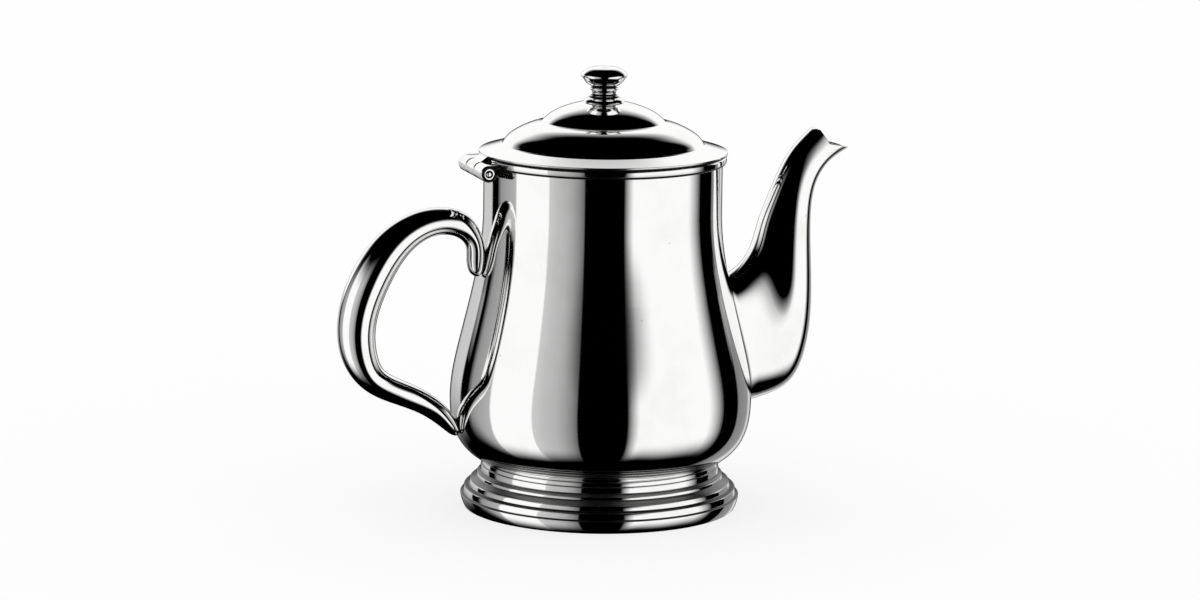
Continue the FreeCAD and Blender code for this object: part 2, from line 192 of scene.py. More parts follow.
# Camera
camera_azimuth = math.radians(-17.5)
camera_rise = math.radians(10.3)
camera_roll = math.radians(0.7)
camera_distance = 1.65
camera_target = Vector((0, 0, 0.0743))
focal_pixels = 4620
picture_width = 1200
sensor_width = 36
shift_pixels = (-1.5, 0.1)
towards_camera = Vector((math.sin(camera_azimuth), -math.cos(camera_azimuth), 0))
camera_right = Vector((math.cos(camera_azimuth), math.sin(camera_azimuth), 0))

# Light tent: degrees round from the camera, to its right, and how light the wall is there
tent_radius = 0.7
tent_centre = 0.075
tent_walls = [
    (-180, 0.6), (-131, 0.6), (-129, 0.0), (-118, 0.0), (-112, 0.3), (-90, 0.45), (-88, 1.0), (-51.5, 1.0),
    (-50.5, 0.62), (-43, 0.54), (-33, 0.47), (-27, 0.38), (-21, 0.26), (-17, 0.15), (-16, 0.0), (20, 0.0), (29, 1.0), (88, 1.0), (105, 0.0),
    (125, 0.0), (127, 0.22), (148, 0.3), (153, 0.7), (180, 0.6),
]



def run_along(points):
    """Distance along a chain of points, at each of them."""
    steps = np.linalg.norm(np.diff(points, axis=0), axis=1)
    return np.concatenate(([0.0], np.cumsum(steps)))


def spline(places, points, wanted, first=None, last=None):
    """Smooth curve that meets each point at its place, read at the wanted places.

    Each span is the cubic with given values and slopes at its two ends. The slopes make the bend the same
    on both sides of every point; an end slope that isn't given is that of a parabola through three points.
    """
    gaps = np.diff(places)[:, None]
    rates = np.diff(points, axis=0) / gaps
    count = len(places)
    inner = np.arange(1, count - 1)
    system = np.eye(count)
    system[inner, inner - 1] = gaps[1:, 0]
    system[inner, inner] = 2 * (gaps[:-1, 0] + gaps[1:, 0])
    system[inner, inner + 1] = gaps[:-1, 0]
    known = np.empty_like(points, dtype=float)
    known[1:-1] = 3 * (gaps[1:] * rates[:-1] + gaps[:-1] * rates[1:])
    known[0] = rates[0] + (rates[0] - rates[1]) * gaps[0] / (gaps[0] + gaps[1])
    known[-1] = rates[-1] + (rates[-1] - rates[-2]) * gaps[-1] / (gaps[-1] + gaps[-2])
    if first is not None:
        known[0] = first
    if last is not None:
        known[-1] = last
    slopes = np.linalg.solve(system, known)
    span = np.clip(np.searchsorted(places, wanted, side="right") - 1, 0, count - 2)
    gap = gaps[span]
    part = ((wanted - places[span])[..., None]) / gap
    rest = 1 - part
    start = points[span] * (1 + 2 * part) * rest ** 2 + slopes[span] * gap * part * rest ** 2
    end = points[span + 1] * (3 - 2 * part) * part ** 2 - slopes[span + 1] * gap * part ** 2 * rest
    return start + end


def curve_through(points, first=None, last=None):
    """Fine chain of points on the smooth curve through a few points, by their distance apart."""
    points = np.array(points, float)
    places = run_along(points)
    wanted = np.linspace(0, places[-1], int(places[-1] / fine_pitch) + 2)
    return spline(places, points, wanted, first, last)


def bowed(start, end, swell, count=24):
    """Arc from start to end: the chord plus a parabola that stands off it by swell, to the right of the way."""
    start = np.array(start, float)
    chord = np.array(end, float) - start
    right = np.array((chord[1], -chord[0])) / np.hypot(*chord)
    part = np.linspace(0, 1, count)[:, None]
    return start + chord * part + right * swell * 4 * part * (1 - part)


def eased(points, reach, closed):
    """Outline with its corners rounded: each point becomes a weighted mean of its neighbours within reach."""
    if closed:
        points = np.vstack((points, points[:1]))
    run = run_along(points[:, :2])
    even = np.linspace(0, run[-1], int(run[-1] / fine_pitch) + 2)
    fine = np.stack([np.interp(even, run, column) for column in points.T], axis=1)
    half = max(int(reach / fine_pitch / 2), 1)
    if closed:
        fine = fine[:-1]
        padded = np.vstack((fine[-half:], fine, fine[:half]))
    else:
        before = 2 * fine[0] - fine[half:0:-1]
        after = 2 * fine[-1] - fine[-2:-half - 2:-1]
        padded = np.vstack((before, fine, after))
    weights = np.hanning(2 * half + 3)[1:-1]
    weights /= weights.sum()
    return np.stack([np.convolve(column, weights, "valid") for column in padded.T], axis=1)


def picked(points, rows, closed):
    """Rows picked along a fine outline, spaced by its run plus the angle it turns through."""
    if closed:
        points = np.vstack((points, points[:1]))
    steps = np.diff(points[:, :2], axis=0)
    heading = np.unwrap(np.arctan2(steps[:, 1], steps[:, 0]))
    bend = np.abs(np.diff(heading, append=heading[-1]))
    worth = np.concatenate(([0.0], np.cumsum(np.linalg.norm(steps, axis=1) + turn_worth * bend)))
    wanted = np.linspace(0, worth[-1], rows + 1 if closed else rows)
    chosen = np.stack([np.interp(wanted, worth, column) for column in points.T], axis=1)
    return chosen[:-1] if closed else chosen


def smooth_step(value, low, high):
    """Soft step from 0 at low to 1 at high."""
    part = np.clip((value - low) / (high - low), 0, 1)
    return part * part * (3 - 2 * part)


def with_crevices(points, reach):
    """Fine outline with a third column of painted shade: 1 where it turns inwards sharply within reach, 0 where it
    doesn't.
    """
    steps = np.diff(points, axis=0, append=points[:1])
    heading = np.arctan2(steps[:, 1], steps[:, 0])
    bend = (np.diff(heading, append=heading[:1]) + math.pi) % (2 * math.pi) - math.pi
    area = np.sum(points[:, 0] * steps[:, 1] - points[:, 1] * steps[:, 0])
    inwards = np.clip(-bend * np.sign(area), 0, crevice_bend)
    half = int(reach / fine_pitch / 2)
    gathered = np.convolve(np.concatenate((inwards[-half:], inwards, inwards[:half])), np.ones(2 * half + 1), "valid")
    deep = smooth_step(gathered, *crevice_turn)
    return np.hstack((points, deep[:, None]))


def turned(outline, columns=round_columns):
    """Outline of radius and height carried round the upright axis: x = r cos a, y = r sin a, z = height.

    A third column of the outline, its painted crevice shade, is carried along.
    """
    angle = np.linspace(0, 2 * math.pi, columns, endpoint=False)
    radius = outline[:, :1]
    level = np.broadcast_to(outline[:, None, 1:], (len(outline), columns, outline.shape[1] - 1))
    return np.dstack((radius * np.cos(angle), radius * np.sin(angle), level))


def grid_mesh(name, grid, wrap_rows):
    """Closed mesh on a grid of points whose columns go right round; rows wrap too, or end in poles.

    A fourth value at each point, how deep it is in a crevice, becomes the attribute that the metals read as painted
    shade.
    """
    rows, columns = grid.shape[:2]
    index = np.arange(rows * columns).reshape(rows, columns)
    index = np.hstack((index, index[:, :1]))
    if wrap_rows:
        index = np.vstack((index, index[:1]))
    faces = np.stack((index[:-1, :-1], index[:-1, 1:], index[1:, 1:], index[1:, :-1]), axis=-1).reshape(-1, 4)
    points = grid[..., :3].reshape(-1, 3) * mm
    corners = points[faces]
    diagonals = np.cross(corners[:, 2] - corners[:, 0], corners[:, 3] - corners[:, 1])
    if np.sum(corners.mean(axis=1) * diagonals) < 0:
        faces = faces[:, ::-1]
    mesh = bpy.data.meshes.new(name)
    mesh.vertices.add(len(points))
    mesh.vertices.foreach_set("co", points.astype(np.float32).ravel())
    mesh.loops.add(faces.size)
    mesh.loops.foreach_set("vertex_index", faces.astype(np.int32).ravel())
    mesh.polygons.add(len(faces))
    mesh.polygons.foreach_set("loop_start", np.arange(0, faces.size, 4, dtype=np.int32))
    mesh.update(calc_edges=True)
    if grid.shape[2] > 3:
        crevice = mesh.attributes.new("crevice", "FLOAT", "POINT")
        crevice.data.foreach_set("value", grid[..., 3].astype(np.float32).ravel())
    if not wrap_rows:
        close_poles(mesh)
    mesh.polygons.foreach_set("use_smooth", np.ones(len(mesh.polygons), bool))
    mesh.update()
    return mesh


def close_poles(mesh):
    """Merges the points of a row that has shrunk to one place."""
    work = bmesh.new()
    work.from_mesh(mesh)
    bmesh.ops.remove_doubles(work, verts=work.verts, dist=1e-6)
    work.to_mesh(mesh)
    work.free()


def add_piece(name, grid, body, finish, nodes, wrap_rows=True):
    """Puts a piece on its body, in place of the nodes it stands for."""
    mesh = grid_mesh(name, grid, wrap_rows)
    mesh.materials.append(finish)
    piece = bpy.data.objects.new(name, mesh)
    bpy.context.scene.collection.objects.link(piece)
    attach(piece, body)
    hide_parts(*nodes)
    return piece


def node_box(node):
    """Lowest and highest corners of a node, in millimetres."""
    low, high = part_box(node)
    return np.array(low) / mm, np.array(high) / mm


def pot_side():
    """Swelling side of the pot as a fine chain of radius and height, from the neck down."""
    slope = np.array((-1, -seat_slope)) / math.hypot(1, seat_slope)
    return curve_through(pot_outline, np.array((0, -1)), slope)


pot_chain = pot_side()


def pot_radius(height):
    """Outside radius of the pot at a height; above the swelling side it is the neck's."""
    return np.interp(height, pot_chain[::-1, 1], pot_chain[::-1, 0])


def pot_height(radius):
    """Height of the pot's underside, below its widest line, at a radius."""
    under = pot_chain[np.argmax(pot_chain[:, 0]):]
    return np.interp(radius, under[::-1, 0], under[::-1, 1])


def with_painted_shade(points, dark):
    """Points with a third column, how dark they are painted as shade."""
    return np.hstack((points, np.full((len(points), 1), dark)))


def foot(finish):
    """Stepped foot: risers, treads painted dark as shade, a solder cove up the pot, then the flange and the plain
    inside.
    """
    corners = [np.array((foot_base_radius, 0.0))]
    outside = []
    for height, step, swell, dark in foot_bands:
        corners.append(corners[-1] + np.array((-step, height)))
        outside.append(with_painted_shade(bowed(corners[-2], corners[-1], swell), dark))
    seat = corners[-1]
    cove_top = np.array((seat[0] + seat_cove_reach, pot_height(seat[0] + seat_cove_reach)))
    cove = bowed(seat - (0, foot_wall / 2), cove_top, -seat_cove_bow)
    in_sheet = np.array((0, sheet / 2))
    hollow_top = pot_base - foot_wall
    inside = [cove_top + in_sheet, seat + in_sheet, (foot_flange_radius, pot_base)]
    inside += [(foot_flange_radius, hollow_top), (seat[0] - foot_wall, hollow_top)]
    inside += [corner - (foot_wall, 0) for corner in reversed(corners[:-1])]
    outline = np.vstack(outside + [with_painted_shade(cove, 0.0), with_painted_shade(np.array(inside), 0.0)])
    grid = turned(picked(eased(outline, foot_edge, True), foot_rows, True))
    add_piece("stepped_foot", grid, "pot", finish, ["foot_ring"])


def arc(centre, radius, start, end, count=24):
    """Points on a circle between two angles in degrees."""
    turn = np.linspace(math.radians(start), math.radians(end), count)
    return np.array(centre) + radius * np.stack((np.cos(turn), np.sin(turn)), axis=1)


def mouth_bead(finish):
    """Ring on the pot's upper edge: a flat-faced bead with quarter-round edges over a thin skirt in the neck."""
    low, high = node_box("mouth_ring")
    top = high[2] + seam_lift
    bottom = top - ring_height
    skirt_radius = pot_outline[0][0] - sheet
    bore = skirt_radius - ring_skirt_wall
    round_centre = ring_radius - ring_round
    outline = np.vstack((
        [(bore, low[2]), (skirt_radius, low[2]), (skirt_radius, bottom)],
        arc((round_centre, bottom + ring_round), ring_round, -90, 0),
        arc((round_centre, top - ring_round), ring_round, 0, 90),
        [(bore, top)],
    ))
    outline = eased(outline, ring_edge, True)
    # Painted shade: the bead darkens where its edges turn in and along its underside.
    set_back = smooth_step(ring_radius - outline[:, :1], *ring_crevice)
    low_down = 1 - smooth_step(outline[:, 1:] - bottom, *ring_shadow)
    shut_in = np.maximum(set_back, low_down)
    grid = turned(picked(np.hstack((outline, shut_in)), ring_rows, True))
    add_piece("mouth_bead", grid, "pot", finish, ["mouth_ring"])


def moved_in(outline, distance):
    """Fine outline moved square off itself, to the left of its way."""
    way = np.gradient(outline, axis=0)
    way /= np.linalg.norm(way, axis=1)[:, None]
    return outline + np.stack((-way[:, 1], way[:, 0]), axis=1) * distance


def lid(finish):
    """Crown, dome and brim with eased coves between them, and the inside one sheet below."""
    base = node_box("lid_shell")[0][2] + seam_lift
    start = np.array([(screw_hole_radius, lid_crown[0][1]), lid_crown[0]])
    stretches = [curve_through(points) for points in (lid_crown, lid_dome, lid_brim)]
    top = eased(np.vstack([start] + stretches), lid_cove, False)
    brim_radius = lid_brim[-1][0]
    under = moved_in(top[::-1], sheet)
    under = under[under[:, 0] < brim_radius - lid_lip - sheet]
    edge = np.array([(brim_radius, base), (brim_radius - lid_lip, base)])
    inner_edge = np.array([(brim_radius - lid_lip, under[0, 1])])
    outline = np.vstack((top, edge, inner_edge, under))
    outline = eased(outline, lid_edge, True)
    # Painted shade along the brim's lower edge.
    shut_in = 1 - smooth_step(outline[:, 1:] - base, *lid_crevice)
    grid = turned(picked(np.hstack((outline, shut_in)), 300, True))
    add_piece("domed_lid", grid, "lid", finish, ["lid_shell"])


def knob(finish):
    """Mushroom head on a beaded stem: a smooth cap, a half-round bead, a waist, and the screw's hole."""
    low, high = node_box("knob")
    head = curve_through(knob_head, np.array((1, 0)))
    head[:, 1] = np.minimum(head[:, 1], high[2])
    bead = arc((knob_bead_radius - knob_bead_half, knob_bead_rise), knob_bead_half, 90, -90)
    hole_top = node_box("knob_screw")[1][2] + 0.1
    rest = np.array([knob_waist, (knob_waist[0], low[2]), (screw_hole_radius, low[2]),
                     (screw_hole_radius, hole_top), (0, hole_top)])
    # Inward turns of the outline are painted dark as shade.
    outline = with_crevices(eased(np.vstack((head, bead, rest)), collar_edge, False), knob_crevice)
    grid = turned(picked(outline, knob_rows, False), knob_columns)
    add_piece("knob_head", grid, "lid", finish, ["knob"], wrap_rows=False)


def collar(finish):
    """Bell-shaped collar under the knob, with a small ring at its top."""
    low, high = node_box("knob_collar")
    ring = bowed((knob_waist[0], collar_ring_rise + 0.4), (collar_ring_radius, collar_ring_rise), -0.15)
    bell = curve_through(collar_bell)
    rest = np.array([(collar_bell[-1][0], low[2]), (screw_hole_radius, low[2]), (screw_hole_radius, high[2]),
                     (knob_waist[0], high[2])])
    # Inward turns of the outline are painted dark as shade.
    outline = with_crevices(eased(np.vstack((ring, bell, rest)), collar_edge, True), collar_crevice)
    grid = turned(picked(outline, collar_rows, True), knob_columns)
    add_piece("knob_bell", grid, "lid", finish, ["knob_collar"])


def spout_skin(depth, places, angle):
    """Spout's surface: egg-shaped ovals that stand between a lower and an upper edge, moved in by depth.

    Round an oval the place between the edges goes as cos a. The place aside goes as sin a times
    1 + egg cos a + blunt cos a cos a (1 - cos a) / 2.
    """
    lows = spout_stations[:, 0:2]
    highs = spout_stations[:, 2:4]
    stops = run_along((lows + highs) / 2)
    low = spline(stops, lows, places)
    high = spline(stops, highs, places)
    half_width = spline(stops, spout_stations[:, 4:], places)[..., 0] - depth
    egg_stops = np.linspace(0, len(stops) - 1, len(spout_egg)).round().astype(int)
    egg = spline(stops[egg_stops], np.array(spout_egg)[:, None], places)[..., 0]
    fullest = 2 * egg / (1 + np.sqrt(1 + 8 * egg ** 2))
    half_width = half_width / (np.sqrt(1 - fullest ** 2) * (1 + egg * fullest))
    middle = (low + high) / 2
    across = (high - low) / 2
    length = np.linalg.norm(across, axis=-1)
    across = across * (1 - depth / length)[..., None]
    flat = middle - across * np.cos(angle)[..., None]
    upper = np.cos(angle) ** 2 * (1 - np.cos(angle)) / 2
    aside = half_width * np.sin(angle) * (1 + egg * np.cos(angle) + spout_blunt * upper)
    return np.stack((flat[..., 0], aside, flat[..., 1]), axis=-1)


def spout_length():
    lows = spout_stations[:, 0:2]
    highs = spout_stations[:, 2:4]
    return run_along((lows + highs) / 2)[-1]


def mouth_line():
    """Fine chain of x and height on the edge of the spout's mouth: two straight runs with an eased corner."""
    return eased(np.array(spout_lip), spout_lip_ease, False)


def zero_place(places, values, row):
    """Place between a row and the next where values pass zero, in straight proportion, for each column."""
    here = np.take_along_axis(values, row[None], 0)[0]
    there = np.take_along_axis(values, row[None] + 1, 0)[0]
    return places[row] + (places[row + 1] - places[row]) * here / (here - there)


def spout_ends(depth, sink, angle):
    """Where each line along the spout leaves the pot, and where it meets the mouth's edge."""
    places = np.linspace(0, spout_length(), 900)
    grid = spout_skin(depth, places[:, None] + 0 * angle, angle + 0 * places[:, None])
    clear = np.hypot(grid[..., 0], grid[..., 1]) - pot_radius(grid[..., 2]) + sink
    root_row = len(places) - 1 - np.argmax(clear[::-1] < 0, axis=0)
    edge = mouth_line()
    order = np.argsort(edge[:, 0])
    above = grid[..., 2] - np.interp(grid[..., 0], edge[order, 0], edge[order, 1])
    mouth_row = np.argmax(above > 0, axis=0) - 1
    return zero_place(places, clear, root_row), zero_place(places, above, mouth_row)


def spout(finish):
    """Hollow spout: outside from the pot to the mouth, a rolled lip, the channel back, closed in the pot's wall."""
    angle = np.linspace(0, 2 * math.pi, spout_columns, endpoint=False)
    root, mouth = spout_ends(0, spout_sink, angle)
    inner_root, inner_mouth = spout_ends(sheet, sheet, angle)
    mouth = mouth - sheet / 2
    inner_mouth = inner_mouth - sheet / 2
    part = np.linspace(0, 1, spout_rows)[:, None] ** 1.3
    places = root + (mouth - root) * part
    near = np.clip(1 - (places - root) / spout_solder_reach, 0, 1)
    outside = spout_skin(-spout_solder * near ** 2, places, angle + 0 * places)
    back = np.linspace(1, 0, spout_rows // 2)[:, None]
    inner_places = inner_root + (inner_mouth - inner_root) * back
    inside = spout_skin(sheet, inner_places, angle + 0 * inner_places)
    outer_edge = outside[-1]
    inner_edge = inside[0]
    onward = outside[-1] - outside[-3]
    onward /= np.linalg.norm(onward, axis=-1)[:, None]
    half = (outer_edge - inner_edge) / 2
    thick = np.linalg.norm(half, axis=-1)[:, None]
    turn = np.linspace(0, math.pi, lip_rows + 2)[1:-1, None, None]
    lip = (outer_edge + inner_edge) / 2 + half * np.cos(turn) + onward * thick * np.sin(turn)
    # Painted shade round the root of the outside, where the spout meets the pot.
    dark = np.zeros(spout_rows + lip_rows + len(inside))
    dark[:spout_rows] = smooth_step(near[:, 0], *spout_crevice)
    grid = np.concatenate((outside, lip, inside))
    dark = np.broadcast_to(dark[:, None], grid.shape[:2])
    add_piece("swan_neck_spout", np.dstack((grid, dark)), "pot", finish, ["spout_left_half", "spout_right_half"])


def handle(finish):
    """Curled handle: ovals square to a smooth line, rounded off to a point at both tips."""
    on_pot = [[(-(pot_radius(height) + thick / 2 - handle_bite), height, thick, across)
               for height, thick, across in ends] for ends in (handle_curl, handle_tail)]
    stations = np.array(on_pot[0] + handle_grip + on_pot[1])
    places = run_along(stations[:, :2])
    part = (1 - np.cos(np.linspace(0, math.pi, handle_rows))) / 2
    mixed = 0.7 * np.linspace(0, 1, handle_rows) + 0.3 * part
    start = handle_tip * (1 - np.cos(np.linspace(0, math.pi / 2, 14)))
    body = handle_tip + (places[-1] - 2 * handle_tip) * mixed[1:-1]
    wanted = np.concatenate((start, body, places[-1] - start[::-1]))
    line = spline(places, stations, wanted)
    way = np.gradient(line[:, :2], wanted, axis=0)
    way /= np.linalg.norm(way, axis=1)[:, None]
    from_tip = np.minimum(wanted, places[-1] - wanted)
    fade = np.sqrt(np.clip(1 - (1 - np.clip(from_tip / handle_tip, 0, 1)) ** 2, 0, 1))
    half_thick = (line[:, 2] / 2 * fade)[:, None]
    half_across = (line[:, 3] / 2 * fade)[:, None]
    angle = np.linspace(0, 2 * math.pi, handle_columns, endpoint=False)
    out = half_thick * np.cos(angle)
    x = line[:, :1] + way[:, 1:] * out
    z = line[:, 1:2] - way[:, :1] * out
    y = half_across * np.sin(angle)
    clear = np.hypot(x, y) - pot_radius(z)
    # Painted shade where the handle comes close to the pot.
    grid = np.stack((x, y, z, 1 - smooth_step(clear, *handle_crevice)), axis=-1)
    add_piece("curled_handle", grid, "pot", finish, ["handle_left_half", "handle_right_half"], wrap_rows=False)


def hinge_axis():
    low, high = node_box("hinge_pin")
    return (low[0] + high[0]) / 2, (low[2] + high[2]) / 2


def barrel_outline(start, end, count=160):
    """Arc of the hinge's barrel between two angles, as x and height off its axis."""
    turn = np.linspace(math.radians(start), math.radians(end), count)
    return barrel_radius * np.stack((np.cos(turn), np.sin(turn)), axis=1)


def knuckle_grid(outline, y0, y1, shut_height):
    """Outline drawn out along the hinge, with rounded ends, flat end faces and the pin's bore.

    Near an end the outline moves in by edge (1 - sin t) while y goes on by edge (1 - cos t).
    What faces the pot, lower than shut_height over the axis, is painted dark as shade, as are the end faces, the
    pin's bore and the edges that round into them.
    """
    axis_x, axis_z = hinge_axis()
    bore_radius = node_box("hinge_pin")[1][0] - axis_x + 0.03
    loop = picked(eased(outline, 0.5, True), hinge_columns, True)
    way = np.roll(loop, -1, axis=0) - np.roll(loop, 1, axis=0)
    way /= np.linalg.norm(way, axis=1)[:, None]
    inwards = np.stack((-way[:, 1], way[:, 0]), axis=1)
    start = math.atan2(loop[0, 1], loop[0, 0])
    angle = start + np.linspace(0, 2 * math.pi, hinge_columns, endpoint=False)
    bore = bore_radius * np.stack((np.cos(angle), np.sin(angle)), axis=1)
    turn = np.linspace(0, math.pi / 2, 7)
    rim_in = knuckle_edge * (1 - np.sin(turn))
    rim_y = knuckle_edge * (1 - np.cos(turn))
    rim = loop + inwards * rim_in[:, None, None]
    # Painted shade on the rounded edges, the end faces, the bore and what faces the pot under a leaf.
    rim_dark = 1 - smooth_step(turn, *knuckle_crevice)
    shut_in = smooth_step(loop[:, 0], 0, 1) * (1 - smooth_step(loop[:, 1], shut_height - leaf_shadow, shut_height))
    brink = bore * (1 + bore_crevice / bore_radius)
    flat = np.concatenate((rim, rim[::-1], [brink, bore, bore, brink]))
    along = np.concatenate((y0 + rim_y, y1 - rim_y[::-1], (y1, y1, y0, y0)))
    dark = np.concatenate((rim_dark, rim_dark[::-1], np.ones(4)))[:, None]
    outside = np.arange(len(flat))[:, None] < 2 * len(rim)
    along = np.broadcast_to(along[:, None], flat.shape[:2])
    dark = np.maximum(dark, outside * shut_in)
    return np.stack((flat[..., 0] + axis_x, along, flat[..., 1] + axis_z, dark), axis=-1)


def pot_knuckles(finish):
    """Outer knuckles: barrel with a leaf, flush with its top, that runs in under the ring."""
    axis_x = hinge_axis()[0]
    inner = knuckle_length / 2 + knuckle_gap
    outer = inner + knuckle_length
    reach = -math.sqrt(leaf_end_radius ** 2 - inner ** 2) - axis_x
    top = barrel_radius
    under = top - leaf_sheet
    meet = math.degrees(math.asin(under / barrel_radius))
    leaf = np.array([(reach, under), (reach, top)])
    outline = np.vstack((leaf, barrel_outline(90, 360 + meet)))
    for name, y0, y1, node in (("knuckle_far", inner, outer, "hinge_knuckle_left"),
                               ("knuckle_near", -outer, -inner, "hinge_knuckle_right")):
        add_piece(name, knuckle_grid(outline, y0, y1, top - 0.2), "pot", finish, [node])


def middle_knuckle(finish):
    """Middle knuckle: barrel with a web that slopes up to the lid's brim."""
    axis_x, axis_z = hinge_axis()
    low, high = node_box("lid_knuckle")
    right = high[0] - axis_x
    top = high[2] - axis_z
    brim = -lid_brim[-1][0] - axis_x
    web = np.array([(right, 0), (right, top), (brim, top)])
    outline = np.vstack((web, barrel_outline(90, 360)))
    half = knuckle_length / 2
    add_piece("knuckle_lid", knuckle_grid(outline, -half, half, -barrel_radius), "lid", finish, ["lid_knuckle"])


def pin(finish):
    """Hinge pin with a small nib in a groove at each end: its outline carried round the hinge's axis."""
    low, high = node_box("hinge_pin")
    axis_x, axis_z = hinge_axis()
    end = np.array(pin_end)
    near = np.stack((end[:, 0], low[1] + end[:, 1]), axis=1)
    far = np.stack((end[::-1, 0], high[1] - end[::-1, 1]), axis=1)
    # Its grooves are painted dark as shade.
    outline = with_crevices(eased(np.vstack((near, far)), pin_edge, False), pin_crevice)
    outline = picked(outline, pin_rows, False)
    radius = outline[:, :1]
    angle = np.linspace(0, 2 * math.pi, pin_columns, endpoint=False)
    x = axis_x + radius * np.cos(angle)
    z = axis_z + radius * np.sin(angle)
    y = np.broadcast_to(outline[:, 1:2], x.shape)
    dark = np.broadcast_to(outline[:, 2:], x.shape)
    piece = add_piece("pin", np.stack((x, y, z, dark), axis=-1), "pot", finish, ["hinge_pin"], wrap_rows=False)


def new_node(tree, kind, inputs, **settings):
    """Node in a tree; its inputs are given by name or number, as a value or as a socket to link."""
    made = tree.nodes.new("ShaderNode" + kind)
    for setting, value in settings.items():
        setattr(made, setting, value)
    for key, value in inputs.items():
        if isinstance(value, bpy.types.NodeSocket):
            tree.links.new(value, made.inputs[key])
        else:
            made.inputs[key].default_value = value
    return made


def reckon(tree, operation, first, second=0.0):
    return new_node(tree, "Math", {0: first, 1: second}, operation=operation).outputs[0]


def spread(tree, value, low, high):
    """Value stretched so that low becomes 0 and high becomes 1."""
    inputs = {"Value": value, "From Min": low, "From Max": high}
    return new_node(tree, "MapRange", inputs, interpolation_type="SMOOTHSTEP").outputs[0]


def new_group(name, inputs, outputs):
    """Shader node group with named inputs and value outputs, and its two end nodes."""
    tree = bpy.data.node_groups.new(name, "ShaderNodeTree")
    for socket, kind in inputs.items():
        tree.interface.new_socket(socket, in_out="INPUT", socket_type="NodeSocket" + kind)
    for socket in outputs:
        tree.interface.new_socket(socket, in_out="OUTPUT", socket_type="NodeSocketFloat")
    return tree, tree.nodes.new("NodeGroupInput"), tree.nodes.new("NodeGroupOutput")


def wheel_lines_group():
    """Lines left by a polishing wheel on a turning piece: noise long round the axis and short across it."""
    tree, given, result = new_group("wheel_lines", {"Place": "Vector", "Lines per metre": "Float"}, ["Lines"])
    place = new_node(tree, "SeparateXYZ", {0: given.outputs["Place"]}).outputs
    flat = new_node(tree, "CombineXYZ", {"X": place["X"], "Y": place["Y"]}).outputs[0]
    radius = new_node(tree, "VectorMath", {0: flat}, operation="LENGTH").outputs["Value"]
    across = reckon(tree, "ADD", place["Z"], reckon(tree, "MULTIPLY", radius, 0.7))
    lines = reckon(tree, "MULTIPLY", across, given.outputs["Lines per metre"])
    round_x = reckon(tree, "MULTIPLY", place["X"], 20.0)
    round_y = reckon(tree, "MULTIPLY", place["Y"], 20.0)
    stretched = new_node(tree, "CombineXYZ", {"X": round_x, "Y": round_y, "Z": lines}).outputs[0]
    noise = new_node(tree, "TexNoise", {"Vector": stretched, "Scale": 1.0, "Detail": 3.0, "Roughness": 0.6})
    tree.links.new(noise.outputs[0], result.inputs["Lines"])
    return tree


def handling_group():
    """Marks of use: soft smudges from broad noise, and hairline scratches from noise drawn out one way."""
    tree, given, result = new_group("handling_marks", {"Place": "Vector"}, ["Smudges", "Scratches"])
    place = given.outputs["Place"]
    broad = new_node(tree, "TexNoise", {"Vector": place, "Scale": 60.0, "Detail": 4.0, "Roughness": 0.55})
    tree.links.new(spread(tree, broad.outputs[0], 0.45, 0.72), result.inputs["Smudges"])
    ways = (((0.5, 0.3, 0.9), (18.0, 18.0, 1500.0)), ((1.2, -0.6, 0.2), (1300.0, 16.0, 16.0)))
    marks = []
    for turn, stretch in ways:
        drawn = new_node(tree, "Mapping", {"Vector": place, "Rotation": turn, "Scale": stretch}).outputs[0]
        noise = new_node(tree, "TexNoise", {"Vector": drawn, "Scale": 1.0, "Detail": 2.0})
        marks.append(spread(tree, noise.outputs[0], 0.7, 0.76))
    tree.links.new(reckon(tree, "MAXIMUM", *marks), result.inputs["Scratches"])
    return tree


def pits_group():
    """Tiny pits, few and far apart: the middles of some cells of a scattered pattern."""
    tree, given, result = new_group("pits", {"Place": "Vector", "Pits per metre": "Float"}, ["Pits"])
    inputs = {"Vector": given.outputs["Place"], "Scale": given.outputs["Pits per metre"]}
    cells = new_node(tree, "TexVoronoi", inputs)
    dot = spread(tree, cells.outputs["Distance"], 0.09, 0.04)
    pick = new_node(tree, "SeparateColor", {0: cells.outputs["Color"]}).outputs[0]
    few = spread(tree, pick, 0.86, 0.88)
    tree.links.new(reckon(tree, "MULTIPLY", dot, few), result.inputs["Pits"])
    return tree


wheel_lines = wheel_lines_group()
handling_marks = handling_group()
pits = pits_group()


def mix_colour(tree, amount, plain, marked):
    return new_node(tree, "MixRGB", {0: amount, 1: plain, 2: marked}).outputs[0]


